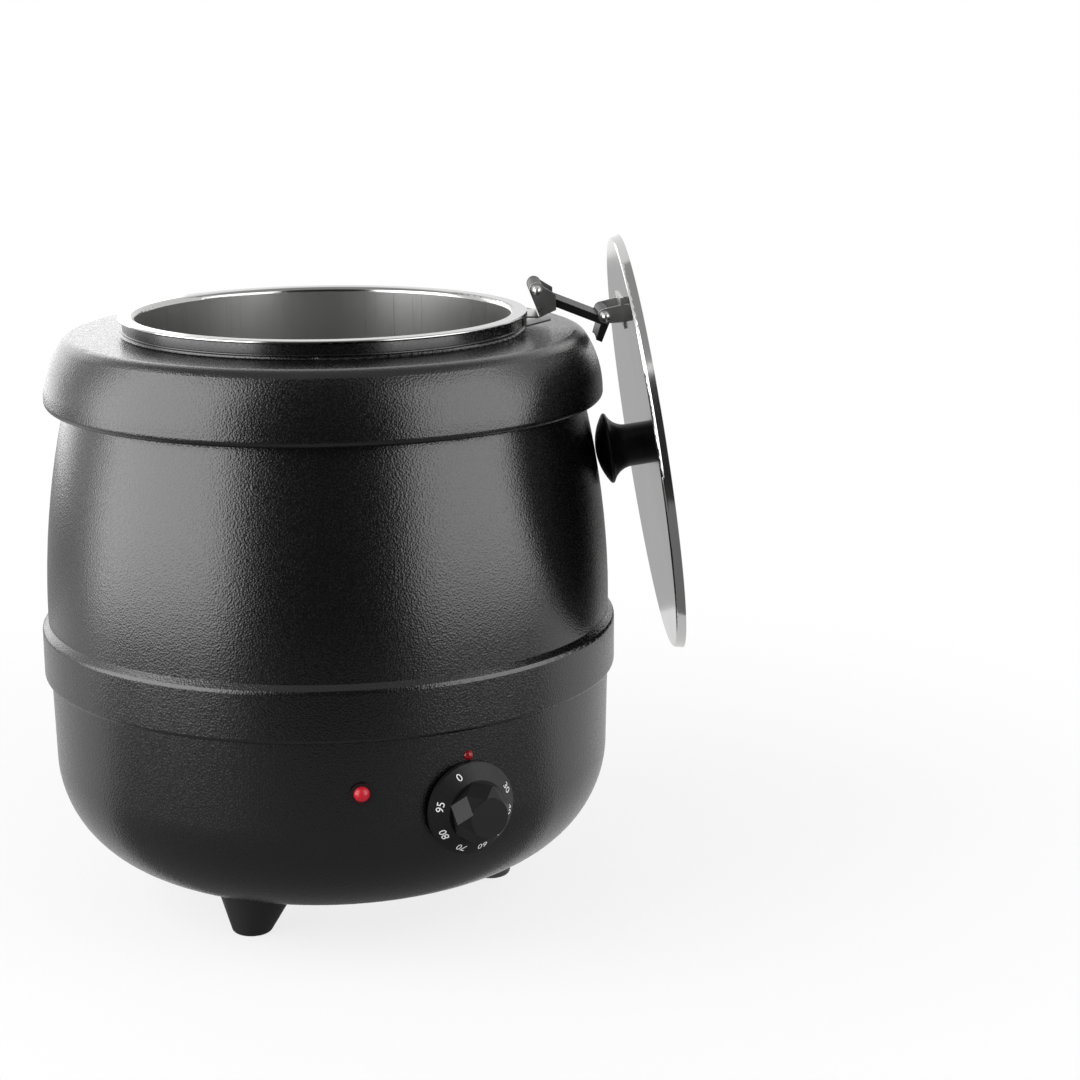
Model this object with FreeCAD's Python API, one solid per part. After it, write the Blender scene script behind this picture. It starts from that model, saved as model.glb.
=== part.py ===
import FreeCAD, Part
import math
import os

# Soup kettle: a heated casing with a lift-out pot and a lid on a two-pin hinge, in millimetres.
# The origin is on the floor under the middle of the pot, +Z is up and +X points at the lid hinge.
# The lid is drawn swung open, hanging beside the barrel with its knob against it.

# Insert pot and the neck that it hangs in
pot_r = 109.8
pot_depth = 256.1
pot_sheet = 0.9
pot_corner_r = 22.0
pot_mouth_r = 2.0
hem_h = 1.8
neck_gap = 5.5
neck_h = 8.4
flange_overhang = 2.5
seat_gap = 0.3
neck_fillet = 1.5
neck_bead_r = 0.8

# Casing sheet and its heights, counted up from the floor
sheet = 1.2
foot_h = 26.4
under_vessel = 54.3
water_gap = 13.0
bowl_h = 114.4
band_h = 29.0
flare_h = 3.7
collar_h = 40.0

# Casing radii, counted out from the neck
vessel_step = 12.5
vessel_corner_r = 12.0
casing_gap = 22.6
barrel_spread = 14.8
barrel_bulge = 4.0
flare_w = 3.6
flare_fillet = 3.0
band_step = 3.8
band_lip_r = 2.4
lip_gap = 0.3
collar_overhang = 11.4
shoulder_w = 17.0
shoulder_r = 9.0
collar_lip_r = 4.0
top_flange_w = 10.0
collar_stud_count = 6
stud_r = 2.0

# Lower bowl, its cover and feet
bowl_taper = 1.1
bowl_corner_r = 66.0
bowl_lap = 23.0
foot_circle_r = 87.0
foot_splay = 8.0
foot_top_r = 24.0
foot_sole_r = 11.0
foot_edge_r = 3.2
foot_count = 3
foot_screw_depth = 14.0
cover_margin = 3.5
cover_lap = 8.0
cover_screw_count = 6
screw_r = 2.0
screw_head_r = 3.8
screw_head_h = 2.4
hole_gap = 0.15
tie_rod_r = 2.5
tie_rod_margin = 6.0
tie_rod_tail = 7.0
tie_nut_h = 4.0

# Heater under the vessel
heater_ring_r = 70.0
heater_tube_r = 3.25
heater_gap_deg = 26.0
heater_gap_at = 10.0
cold_end_h = 16.0
clamp_margin = 2.8
clamp_sheet = 1.5
clamp_stud_r = 3.0
clamp_nut_h = 5.0

# Controls on the front of the bowl: angles from +X, heights above the bowl's floor
dial_at = -62.0
dial_up = 70.1
dial_gap = 0.6
skirt_r = 26.2
skirt_edge_h = 3.0
skirt_cone_h = 6.0
grip_base_r = 17.5
grip_face_r = 11.2
grip_h = 14.0
grip_rim_h = 1.2
grip_sides = 6
grip_turn = -10.0
dial_recess_r = 23.3
dial_recess_h = 3.6
shaft_r = 3.0
shaft_grip = 9.0
shaft_tail = 14.0
running_gap = 0.05
bushing_r = 4.8
thermostat_w = 36.0
thermostat_h = 30.0
thermostat_d = 20.0
thermostat_screw_pitch = 28.0
lamp_at = -83.2
lamp_up = 85.0
lamp_body_r = 4.6
lamp_bezel_r = 6.2
lamp_bezel_h = 1.2
lamp_lens_r = 4.4
lamp_lens_h = 3.4
lamp_tail = 18.0
lamp_nut_h = 3.0
stud_lens_r = 2.8
stud_lens_h = 2.2
stud_stem_r = 1.5
stud_stem_len = 3.6
stud_lift = 3.2

# Bulb, terminal block, wires and cord gland
bulb_at = -28.0
bulb_inset = 32.0
bulb_r = 3.1
bulb_len = 56.0
capillary_r = 1.0
clip_sheet = 1.2
clip_w = 12.0
block_at = 95.0
block_r = 75.5
block_w = 36.0
block_d = 17.0
block_h = 16.0
terminal_pitch = 12.0
terminal_screw_r = 2.2
terminal_screw_h = 1.2
wire_r = 1.3
wire_bend_r = 7.0
wire_lift = 8.0
wire_step = 6.0
terminal_drop = 8.0
gland_at = 100.0
gland_up = 66.3
gland_bore_r = 3.6
gland_thread_r = 7.8
gland_flange_r = 11.0
gland_flange_h = 9.0
gland_tail = 16.0
gland_nut_r = 11.7
gland_nut_h = 5.0

# Lid, knob and hinge
lid_overhang = 5.0
lid_gap = 0.3
lid_sheet = 1.0
lid_h = 5.5
lid_taper = 1.0
lid_corner_r = 1.8
knob_stem_r = 12.6
knob_head_r = 22.5
knob_stem_h = 7.0
knob_rim_h = 19.0
knob_rim_r = 1.3
knob_h = 27.0
knob_screw_depth = 12.0
washer_r = 7.0
washer_h = 1.0
rest_gap = 0.4
pin_r = 2.0
pin_neck_r = 1.4
pin_ball_r = 2.6
pin_neck_len = 1.2
ear_sheet = 1.0
ear_tip_r = 4.2
ear_gap = 0.4
link_half_w = 15.5
ear_side_gap = 0.4
rim_pin_up = 13.0
lid_pin_up = 11.0
lid_pin_reach = 81.0
link_hub_r = 4.0
link_bar_low = 1.0
link_bar_top = 5.4
tab_h = 9.5
tab_t = 4.6
tab_dish = 1.0
clip_floor_in = 0.9
clip_floor_w = 10.4
clip_floor_rise = 4.7
clip_lip_gap = 0.3
clip_lip_drop = 6.0
clip_web_gap = 0.3
clip_tab_len = 15.0
clip_tab_up = 1.8
clip_tab_rise = 3.6
clip_ear_reach = 11.0
clip_ear_drop = 2.5
bracket_len = 18.0

# Stack of heights
bowl_floor_z = foot_h
vessel_floor_z = bowl_floor_z + under_vessel
pot_floor_z = vessel_floor_z + sheet + water_gap
pot_top_z = pot_floor_z + pot_depth
hem_low_z = pot_top_z - hem_h
neck_top_z = hem_low_z - seat_gap
collar_top_z = neck_top_z - neck_h
collar_low_z = collar_top_z - collar_h
band_low_z = bowl_floor_z + bowl_h
band_top_z = band_low_z + band_h
crease_z = band_top_z + flare_h

# Stack of radii
neck_r = pot_r + neck_gap + sheet
flange_r = neck_r + flange_overhang
vessel_r = neck_r + vessel_step
bulb_circle_r = vessel_r - bulb_inset
barrel_r = vessel_r + casing_gap
crease_r = barrel_r + barrel_spread
waist_r = crease_r + flare_w
collar_r = barrel_r + collar_overhang
shoulder_in_r = collar_r - shoulder_w
bowl_r = waist_r - band_step
bowl_low_r = bowl_r - bowl_taper
lid_r = flange_r + lid_overhang

UP = FreeCAD.Vector(0, 0, 1)
ALONG = FreeCAD.Vector(0, 1, 0)
OUT = FreeCAD.Vector(1, 0, 0)
ORIGIN = FreeCAD.Vector(0, 0, 0)


# Drawing helpers: profiles are drawn in the XZ plane, with X as the radius

def at(r, z):
    return FreeCAD.Vector(r, 0, z)


def line(a, b):
    return Part.LineSegment(at(*a), at(*b)).toShape()


def arc(centre, radius, start_deg, end_deg):
    points = []
    for turn in (start_deg, (start_deg + end_deg) / 2, end_deg):
        a = math.radians(turn)
        points.append(at(centre[0] + radius * math.cos(a), centre[1] + radius * math.sin(a)))
    return Part.Arc(*points).toShape()


def end_of(edge):
    v = edge.valueAt(edge.LastParameter)
    return (v.x, v.z)


def start_of(edge):
    v = edge.valueAt(edge.FirstParameter)
    return (v.x, v.z)


def joined(edges):
    """Fill the gaps between edges drawn in order with straight lines."""
    run = [edges[0]]
    for edge in edges[1:]:
        a = end_of(run[-1])
        b = start_of(edge)
        if math.dist(a, b) > 1e-6:
            run.append(line(a, b))
        run.append(edge)
    return run


def polygon(points):
    return Part.Face(Part.makePolygon([at(*p) for p in points + points[:1]]))


def disc(centre, radius):
    """Round section drawn as two half circles."""
    return Part.Face(Part.Wire([arc(centre, radius, 0, 180), arc(centre, radius, 180, 360)]))


def turned(face):
    return face.revolve(ORIGIN, UP, 360)


def spun_sheet(edges, thickness):
    """A sheet of even thickness turned about Z, grown from its drawn face towards the inside."""
    return turned(Part.Wire(edges).makeOffset2D(-thickness, 2, True, True))


def rod(radius, length, base, direction):
    return Part.makeCylinder(radius, length, base, direction)


def box(x0, x1, y0, y1, z0, z1):
    return Part.makeBox(x1 - x0, y1 - y0, z1 - z0, FreeCAD.Vector(x0, y0, z0))


def hex_nut(across_r, height, bore_r, base, direction):
    corners = [FreeCAD.Vector(across_r, 0, 0)]
    for k in range(1, 7):
        a = math.radians(60 * k)
        corners.append(FreeCAD.Vector(across_r * math.cos(a), across_r * math.sin(a), 0))
    body = Part.Face(Part.makePolygon(corners)).extrude(UP * height)
    body = body.cut(rod(bore_r, height, ORIGIN, UP))
    body.Placement = FreeCAD.Placement(base, FreeCAD.Rotation(UP, direction))
    return body


def around(shape, count, first_deg=0.0):
    """Copies of one shape spread evenly about Z, as one group of separate solids."""
    copies = []
    for k in range(count):
        copies.append(shape.rotated(ORIGIN, UP, first_deg + 360.0 * k / count))
    return copies


def radial(shape, angle_deg, z):
    """Turn a shape drawn along +X at height 0 to its place on the casing."""
    return shape.rotated(ORIGIN, UP, angle_deg).translated(UP * z)


def radial_point(r, side, z, angle_deg):
    a = math.radians(angle_deg)
    x = r * math.cos(a) - side * math.sin(a)
    y = r * math.sin(a) + side * math.cos(a)
    return FreeCAD.Vector(x, y, z)


def bent_tube(points, radius, bend_r):
    """A round tube along straight runs joined by tangent arcs."""
    edges = []
    last = points[0]
    for before, corner, after in zip(points, points[1:], points[2:]):
        back = (before - corner).normalize()
        ahead = (after - corner).normalize()
        half = back.getAngle(ahead) / 2
        reach = bend_r / math.tan(half)
        middle = (back + ahead).normalize()
        centre = corner + middle * (bend_r / math.sin(half))
        bend_start = corner + back * reach
        bend_end = corner + ahead * reach
        edges.append(Part.LineSegment(last, bend_start).toShape())
        edges.append(Part.Arc(bend_start, centre - middle * bend_r, bend_end).toShape())
        last = bend_end
    edges.append(Part.LineSegment(last, points[-1]).toShape())
    path = Part.Wire(edges)
    ring = Part.Wire(Part.makeCircle(radius, points[0], points[1] - points[0]))
    return path.makePipeShell([ring], True, False)


# Shapes that several pieces share

def barrel_circle():
    """Centre and radius of the barrel's side, an arc through its neck, its bulge and its crease."""
    half_h = (collar_low_z - crease_z) / 2
    half_w = (crease_r - barrel_r) / 2
    chord = math.hypot(2 * half_h, 2 * half_w)
    sag = barrel_bulge * 2 * half_h / chord
    radius = (chord * chord / 4 + sag * sag) / (2 * sag)
    middle = (barrel_r + half_w, crease_z + half_h)
    normal = (2 * half_h / chord, 2 * half_w / chord)
    centre = (middle[0] - normal[0] * (radius - sag), middle[1] - normal[1] * (radius - sag))
    return centre, radius


def barrel_side(z):
    centre, radius = barrel_circle()
    return centre[0] + math.sqrt(radius * radius - (z - centre[1]) ** 2)


def barrel_angle(z):
    centre, radius = barrel_circle()
    return math.degrees(math.asin((z - centre[1]) / radius))


bowl_wall_low_z = bowl_floor_z + bowl_corner_r
bowl_flat_r = bowl_low_r - bowl_corner_r
cover_r = foot_circle_r - foot_top_r - cover_margin
cover_hole_r = cover_r - cover_lap
tie_circle_r = heater_ring_r + heater_tube_r + clamp_margin + tie_rod_margin


def bowl_edges():
    """The bowl's outer face, from its lapped top edge down to the hole in its floor."""
    return joined([
        line((bowl_r, band_low_z + bowl_lap), (bowl_r, band_low_z)),
        arc((bowl_flat_r, bowl_wall_low_z), bowl_corner_r, 0, -90),
        line((bowl_flat_r, bowl_floor_z), (cover_hole_r, bowl_floor_z)),
    ])


def bowl_wall_r(z):
    """Outer radius of the bowl's wall at a height on its straight or rounded part."""
    if z >= bowl_wall_low_z:
        return bowl_low_r + bowl_taper * (z - bowl_wall_low_z) / (band_low_z - bowl_wall_low_z)
    return bowl_flat_r + math.sqrt(bowl_corner_r ** 2 - (bowl_wall_low_z - z) ** 2)


def outside_wall(z, half_h):
    """Radius at which a flat seat of some height clears the bowl's wall from outside."""
    return max(bowl_wall_r(z - half_h), bowl_wall_r(z), bowl_wall_r(z + half_h)) + hole_gap


def inside_wall(z, half_w, half_h):
    """Radius at which a flat seat of some width and height clears the bowl's wall from inside."""
    nearest = min(bowl_wall_r(z - half_h), bowl_wall_r(z + half_h)) - sheet
    return math.sqrt(nearest ** 2 - half_w ** 2) - hole_gap


def bowl_floor_rise(r):
    """How far the bowl's floor has risen at a radius outside its flat."""
    out = max(0.0, r - bowl_flat_r)
    return bowl_corner_r - math.sqrt(bowl_corner_r ** 2 - out ** 2)


def bowl_filled():
    edges = bowl_edges()
    top = start_of(edges[0])
    low = end_of(edges[-1])
    edges += [line(low, (0, low[1])), line((0, low[1]), (0, top[1])), line((0, top[1]), top)]
    return turned(Part.Face(Part.Wire(edges)))


dial_z = bowl_floor_z + dial_up
lamp_z = bowl_floor_z + lamp_up
gland_z = bowl_floor_z + gland_up
stud_z = dial_z + skirt_r + stud_lift


# Casing

def collar_ring():
    """Pressed collar with the neck drawn up in its middle and its lower edge turned in."""
    drop = collar_h - collar_lip_r
    side_r = (shoulder_w ** 2 + drop ** 2 - 2 * drop * shoulder_r) / (2 * (shoulder_w - shoulder_r))
    top_c = (shoulder_in_r, collar_top_z - shoulder_r)
    side_c = (collar_r - side_r, collar_top_z - drop)
    meet = math.degrees(math.atan2(top_c[1] - side_c[1], top_c[0] - side_c[0]))
    lip_c = (collar_r - collar_lip_r, collar_low_z + collar_lip_r)
    edges = joined([
        line((neck_r, neck_top_z), (neck_r, collar_top_z + neck_fillet)),
        arc((neck_r + neck_fillet, collar_top_z + neck_fillet), neck_fillet, 180, 270),
        arc(top_c, shoulder_r, 90, meet),
        arc(side_c, side_r, meet, 0),
        arc(lip_c, collar_lip_r, 0, -90),
        line((collar_r - collar_lip_r, collar_low_z), (barrel_side(collar_low_z) + lip_gap, collar_low_z)),
    ])
    shell = spun_sheet(edges, sheet)
    bead_z = collar_top_z + neck_fillet + neck_bead_r
    root_r = neck_r - sheet / 2
    bead = turned(Part.Face(Part.Wire([
        line((root_r, bead_z - neck_bead_r), (neck_r, bead_z - neck_bead_r)),
        arc((neck_r, bead_z), neck_bead_r, -90, 90),
        line((neck_r, bead_z + neck_bead_r), (root_r, bead_z + neck_bead_r)),
        line((root_r, bead_z + neck_bead_r), (root_r, bead_z - neck_bead_r)),
    ])))
    shell = shell.fuse(bead).removeSplitter()
    notch_half = link_half_w + ear_side_gap + ear_sheet
    notch_z = neck_top_z - clip_lip_gap - ear_sheet - clip_lip_gap
    return shell.cut(box(0, flange_r, -notch_half, notch_half, notch_z, neck_top_z))


def barrel_shell():
    """Barrel rolled from sheet: an inward flange at the top, bulged side, flare and waist band."""
    top_z = collar_top_z - 2 * sheet
    centre, radius = barrel_circle()
    lip_c = (waist_r - band_lip_r, band_low_z + band_lip_r)
    flare_deg = math.degrees(math.atan2(flare_h, flare_w))
    tangent = flare_fillet * math.tan(math.radians((90 - flare_deg) / 2))
    bend_c = (waist_r - flare_fillet, band_top_z - tangent)
    edges = joined([
        line((barrel_side(top_z) - top_flange_w, top_z), (barrel_side(top_z), top_z)),
        arc(centre, radius, barrel_angle(top_z), barrel_angle(crease_z)),
        arc(bend_c, flare_fillet, 90 - flare_deg, 0),
        arc(lip_c, band_lip_r, 0, -90),
        line((waist_r - band_lip_r, band_low_z), (bowl_r + lip_gap, band_low_z)),
    ])
    shell = spun_sheet(edges, sheet)
    return shell.cut(stud_holes())


def lower_bowl():
    """Pressed bowl that holds the controls, with its holes."""
    bowl = spun_sheet(bowl_edges(), sheet)
    holes = [
        radial(rod(bushing_r + hole_gap, waist_r, ORIGIN, OUT), dial_at, dial_z),
        radial(rod(lamp_body_r + hole_gap, waist_r, ORIGIN, OUT), lamp_at, lamp_z),
        radial(rod(stud_stem_r + hole_gap, waist_r, ORIGIN, OUT), dial_at, stud_z),
        radial(rod(gland_thread_r + hole_gap, waist_r, ORIGIN, OUT), gland_at, gland_z),
    ]
    for side in (-1, 1):
        start = FreeCAD.Vector(0, side * thermostat_screw_pitch / 2, 0)
        holes.append(radial(rod(screw_r + hole_gap, waist_r, start, OUT), dial_at, dial_z))
    drill = rod(screw_r + hole_gap, under_vessel, at(foot_circle_r, 0), UP)
    holes += around(drill, foot_count)
    drill = rod(tie_rod_r + hole_gap, under_vessel, at(tie_circle_r, 0), UP)
    holes += around(drill, foot_count, 180.0 / foot_count)
    drill = rod(screw_r + hole_gap, under_vessel, at(cover_r - cover_lap / 2, 0), UP)
    holes += around(drill, cover_screw_count)
    return bowl.cut(holes)


def bottom_cover():
    plate = rod(cover_r, sheet, at(0, bowl_floor_z - sheet), UP)
    drill = rod(screw_r + hole_gap, under_vessel, at(cover_r - cover_lap / 2, 0), UP)
    return plate.cut(around(drill, cover_screw_count))


def cover_screws():
    z = bowl_floor_z - sheet
    shank = rod(screw_r, 2 * sheet + screw_head_h, at(0, z), UP)
    head = rod(screw_head_r, screw_head_h, at(0, z - screw_head_h), UP)
    screw = shank.fuse(head).translated(OUT * (cover_r - cover_lap / 2))
    return Part.makeCompound(around(screw, cover_screw_count))


def foot_ring(z):
    """Outline of a splayed foot at a height, continued past its top as far as is asked."""
    share = z / foot_h
    r = foot_sole_r + (foot_top_r - foot_sole_r) * share
    return Part.Wire(Part.makeCircle(r, at(foot_circle_r + foot_splay * (1 - share), z), UP))


def foot(index):
    """Moulded cone that leans out, shaped to the bowl at its top, with a blind screw hole."""
    reach = bowl_floor_rise(foot_circle_r + foot_top_r)
    cone = Part.makeLoft([foot_ring(0), foot_ring(foot_h + reach)], True, True)
    sole = [e for e in cone.Edges if abs(e.BoundBox.ZMax) < 1e-6 and len(e.Vertexes) == 1]
    cone = cone.makeFillet(foot_edge_r, sole).cut(bowl_filled())
    hole_z = foot_screw_z() - foot_screw_depth
    cone = cone.cut(rod(screw_r, foot_h, at(foot_circle_r, hole_z), UP))
    return cone.rotated(ORIGIN, UP, 360.0 * index / foot_count)


def foot_screw_z():
    """Height of the foot screws' heads, which sit on the bowl's rising floor."""
    return bowl_floor_z + sheet + bowl_floor_rise(foot_circle_r + screw_head_r) + hole_gap


def foot_screws():
    z = foot_screw_z()
    shank = rod(screw_r, foot_screw_depth, at(foot_circle_r, z - foot_screw_depth), UP)
    head = rod(screw_head_r, screw_head_h, at(foot_circle_r, z), UP)
    return Part.makeCompound(around(shank.fuse(head), foot_count))


# Water vessel, its studs and the tie rods that pull the bowl up

def stud_circle_r():
    return barrel_side(collar_top_z - 2 * sheet) - top_flange_w / 2


def stud_holes():
    drill = rod(stud_r + hole_gap, collar_h, at(stud_circle_r(), collar_top_z - collar_h - sheet), UP)
    return around(drill, collar_stud_count)


def water_vessel():
    """Drawn vessel that holds the water, hung by its flange between collar and barrel."""
    top_z = collar_top_z - 2 * sheet
    corner = (vessel_r - vessel_corner_r, vessel_floor_z + vessel_corner_r)
    edges = joined([
        line((barrel_side(top_z), top_z), (vessel_r, top_z)),
        line((vessel_r, top_z), (vessel_r, vessel_floor_z + vessel_corner_r)),
        arc(corner, vessel_corner_r, 0, -90),
        line((vessel_r - vessel_corner_r, vessel_floor_z), (0, vessel_floor_z)),
    ])
    return spun_sheet(edges, sheet).cut(stud_holes())


def collar_studs():
    """Studs welded under the collar's top, through the vessel's and barrel's flanges."""
    length = 2 * sheet + 2 * stud_r + stud_r
    stud = rod(stud_r, length, at(stud_circle_r(), collar_top_z - sheet - length), UP)
    return Part.makeCompound(around(stud, collar_stud_count))


def collar_nuts():
    base = at(stud_circle_r(), collar_top_z - 3 * sheet - 2 * stud_r)
    nut = hex_nut(2 * stud_r, 2 * stud_r, stud_r, base, UP)
    return Part.makeCompound(around(nut, collar_stud_count))


def tie_rods():
    length = under_vessel + tie_rod_tail
    one = rod(tie_rod_r, length, at(tie_circle_r, bowl_floor_z - tie_rod_tail), UP)
    return Part.makeCompound(around(one, foot_count, 180.0 / foot_count))


def tie_nuts():
    one = hex_nut(2 * tie_rod_r, tie_nut_h, tie_rod_r, at(tie_circle_r, bowl_floor_z - tie_nut_h), UP)
    return Part.makeCompound(around(one, foot_count, 180.0 / foot_count))


# Heater

heater_z = vessel_floor_z - heater_tube_r
clamp_z = vessel_floor_z - 2 * heater_tube_r


def cold_end(sign):
    return radial_point(heater_ring_r, 0, heater_z, heater_gap_at + sign * heater_gap_deg / 2)


def heater_ring():
    """Tubular ring with its two ends turned down to the wires."""
    ring = disc((heater_ring_r, heater_z), heater_tube_r).revolve(ORIGIN, UP, 360 - heater_gap_deg)
    ring = ring.rotated(ORIGIN, UP, heater_gap_at + heater_gap_deg / 2)
    for sign in (-1, 1):
        top = cold_end(sign)
        ring = ring.fuse(Part.makeSphere(heater_tube_r, top))
        ring = ring.fuse(rod(heater_tube_r, cold_end_h, top, -UP))
    return ring


def clamp_plate():
    """Plate that presses the ring to the vessel, notched for the ring's ends."""
    plate_r = heater_ring_r + heater_tube_r + clamp_margin
    plate = rod(plate_r, clamp_sheet, at(0, clamp_z - clamp_sheet), UP)
    plate = plate.cut(rod(clamp_stud_r + hole_gap, clamp_sheet, at(0, clamp_z - clamp_sheet), UP))
    half = heater_ring_r * math.sin(math.radians(heater_gap_deg / 2)) + heater_tube_r + clamp_margin
    inner = heater_ring_r - heater_tube_r - 2 * clamp_margin
    notch = box(inner, plate_r, -half, half, clamp_z - clamp_sheet, clamp_z)
    return plate.cut(notch.rotated(ORIGIN, UP, heater_gap_at))


def clamp_stud():
    length = 2 * heater_tube_r + clamp_sheet + clamp_nut_h + clamp_stud_r
    return rod(clamp_stud_r, length, at(0, vessel_floor_z - length), UP)


def clamp_nut():
    base = at(0, clamp_z - clamp_sheet - clamp_nut_h)
    return hex_nut(2 * clamp_stud_r, clamp_nut_h, clamp_stud_r, base, UP)


# Controls, drawn along +X and then turned to their place

wall_r = bowl_wall_r(dial_z)
dial_back = outside_wall(dial_z, skirt_r) + dial_gap
thermostat_face = inside_wall(dial_z, thermostat_w / 2, thermostat_h / 2)
thermostat_back = thermostat_face - thermostat_d


def grip():
    """Faceted grip: flat diamonds from its foot to its face, with triangles between them."""
    half = math.pi / grip_sides
    middle_r = (grip_base_r + grip_face_r) / 2 / math.cos(half)
    foot_x = dial_back + skirt_edge_h + skirt_cone_h
    levels = [
        (foot_x, grip_base_r, 0),
        (foot_x + grip_h / 2, middle_r, half),
        (foot_x + grip_h, grip_face_r, 0),
    ]
    rings = []
    for x, r, shift in levels:
        ring = []
        for k in range(grip_sides):
            a = math.radians(grip_turn) + 2 * half * k + shift
            ring.append(FreeCAD.Vector(x, r * math.sin(a), r * math.cos(a)))
        rings.append(ring)
    base, middle, face = rings
    outlines = [base, face]
    for k in range(grip_sides):
        n = (k + 1) % grip_sides
        outlines.append([base[k], middle[k], face[k], middle[k - 1]])
        outlines.append([base[k], base[n], middle[k]])
        outlines.append([face[k], face[n], middle[k]])
    faces = [Part.Face(Part.makePolygon(outline + outline[:1])) for outline in outlines]
    return Part.Solid(Part.Shell(faces))


def dial_knob():
    """Moulded dial: a coned skirt, a faceted grip with a round face and a hollow back."""
    body = rod(skirt_r, skirt_edge_h, OUT * dial_back, OUT)
    cone_x = dial_back + skirt_edge_h
    body = body.fuse(Part.makeCone(skirt_r, grip_base_r, skirt_cone_h, OUT * cone_x, OUT))
    face_x = cone_x + skirt_cone_h + grip_h - grip_rim_h
    body = body.fuse(grip()).fuse(rod(grip_face_r, grip_rim_h, OUT * face_x, OUT)).removeSplitter()
    body = body.cut(rod(dial_recess_r, dial_recess_h, OUT * dial_back, OUT))
    body = body.cut(rod(shaft_r, dial_recess_h + shaft_grip, OUT * dial_back, OUT))
    return radial(body, dial_at, dial_z)


def dial_shaft():
    start = thermostat_face - shaft_tail
    length = dial_back + dial_recess_h + shaft_grip - start
    return radial(rod(shaft_r, length, OUT * start, OUT), dial_at, dial_z)


def thermostat_body():
    """Thermostat behind the wall, with the bushing that its shaft turns in."""
    half = thermostat_w / 2
    body = box(thermostat_back, thermostat_face, -half, half, -thermostat_h / 2, thermostat_h / 2)
    body = body.fuse(rod(bushing_r, wall_r - thermostat_face, OUT * thermostat_face, OUT))
    bore = OUT * (thermostat_face - shaft_tail - hole_gap)
    body = body.cut(rod(shaft_r + running_gap, waist_r, bore, OUT))
    for side in (-1, 1):
        start = FreeCAD.Vector(thermostat_back + clip_sheet, side * thermostat_screw_pitch / 2, 0)
        body = body.cut(rod(screw_r, thermostat_d, start, OUT))
    return radial(body, dial_at, dial_z)


def thermostat_screws():
    """Two screws through the wall, hidden in the dial's hollow back."""
    screws = []
    for side in (-1, 1):
        y = side * thermostat_screw_pitch / 2
        head_x = math.sqrt(wall_r ** 2 - (abs(y) - screw_head_r) ** 2) + hole_gap
        start = FreeCAD.Vector(thermostat_back + clip_sheet, y, 0)
        shank = rod(screw_r, head_x - start.x, start, OUT)
        head = rod(screw_head_r, screw_head_h, FreeCAD.Vector(head_x, y, 0), OUT)
        screws.append(radial(shank.fuse(head), dial_at, dial_z))
    return Part.makeCompound(screws)


lamp_seat = outside_wall(lamp_z, lamp_bezel_r)


def lamp_holder():
    """Lamp body with its bezel outside the wall and its tail inside."""
    body = rod(lamp_bezel_r, lamp_bezel_h, OUT * lamp_seat, OUT)
    body = body.fuse(rod(lamp_body_r, lamp_tail, OUT * (lamp_seat - lamp_tail), OUT))
    return radial(body.removeSplitter(), lamp_at, lamp_z)


def lamp_lens():
    """Domed red lens on the bezel."""
    dome_r = (lamp_lens_r ** 2 + lamp_lens_h ** 2) / (2 * lamp_lens_h)
    front = lamp_seat + lamp_bezel_h
    ball = Part.makeSphere(dome_r, OUT * (front + lamp_lens_h - dome_r))
    dome = ball.common(rod(lamp_lens_r, lamp_lens_h, OUT * front, OUT))
    return radial(dome, lamp_at, lamp_z)


def lamp_nut():
    base = OUT * (inside_wall(lamp_z, 2 * lamp_body_r, 2 * lamp_body_r) - lamp_nut_h)
    nut = hex_nut(2 * lamp_body_r, lamp_nut_h, lamp_body_r, base, OUT)
    return radial(nut, lamp_at, lamp_z)


def index_stud():
    """Red mark above the dial, pressed into the wall."""
    seat = outside_wall(stud_z, stud_lens_r)
    dome_r = (stud_lens_r ** 2 + stud_lens_h ** 2) / (2 * stud_lens_h)
    ball = Part.makeSphere(dome_r, OUT * (seat + stud_lens_h - dome_r))
    head = ball.common(rod(stud_lens_r, stud_lens_h, OUT * seat, OUT))
    stem = rod(stud_stem_r, stud_stem_len, OUT * (seat - stud_stem_len), OUT)
    return radial(head.fuse(stem).removeSplitter(), dial_at, stud_z)


# Bulb, terminals, wires and gland

bulb_z = vessel_floor_z - bulb_r - hole_gap


def bulb_and_capillary():
    """Sensing bulb under the vessel, with its capillary led to the thermostat."""
    start = radial_point(bulb_circle_r, -bulb_len / 2, bulb_z, bulb_at)
    along = radial_point(0, 1, 0, bulb_at)
    bulb = rod(bulb_r, bulb_len, start, along)
    under = dial_z - thermostat_h / 2
    finish = radial_point(thermostat_back + thermostat_d / 2, thermostat_w / 4, under, dial_at)
    level = under - 2 * wire_bend_r
    run = [start, start - along * 3 * wire_bend_r]
    run[-1].z = min(bulb_z, level)
    run += [FreeCAD.Vector(finish.x, finish.y, level), finish]
    capillary = bent_tube(run, capillary_r, wire_bend_r / 2)
    return bulb.fuse(capillary).removeSplitter()


def bulb_clip():
    """Saddle welded to the vessel's floor over the bulb."""
    half = bulb_r + clip_sheet
    tunnel = bulb_r + hole_gap
    side = clip_w / 2
    body = box(-2 * half, 2 * half, -side, side, vessel_floor_z - clip_sheet, vessel_floor_z)
    body = body.fuse(box(-half, half, -side, side, bulb_z - half, vessel_floor_z))
    body = body.cut(rod(tunnel, clip_w, FreeCAD.Vector(0, -side, bulb_z), ALONG))
    body = body.cut(box(-tunnel, tunnel, -side, side, bulb_z, vessel_floor_z))
    return body.translated(OUT * bulb_circle_r).rotated(ORIGIN, UP, bulb_at)


block_z = bowl_floor_z + sheet


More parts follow.
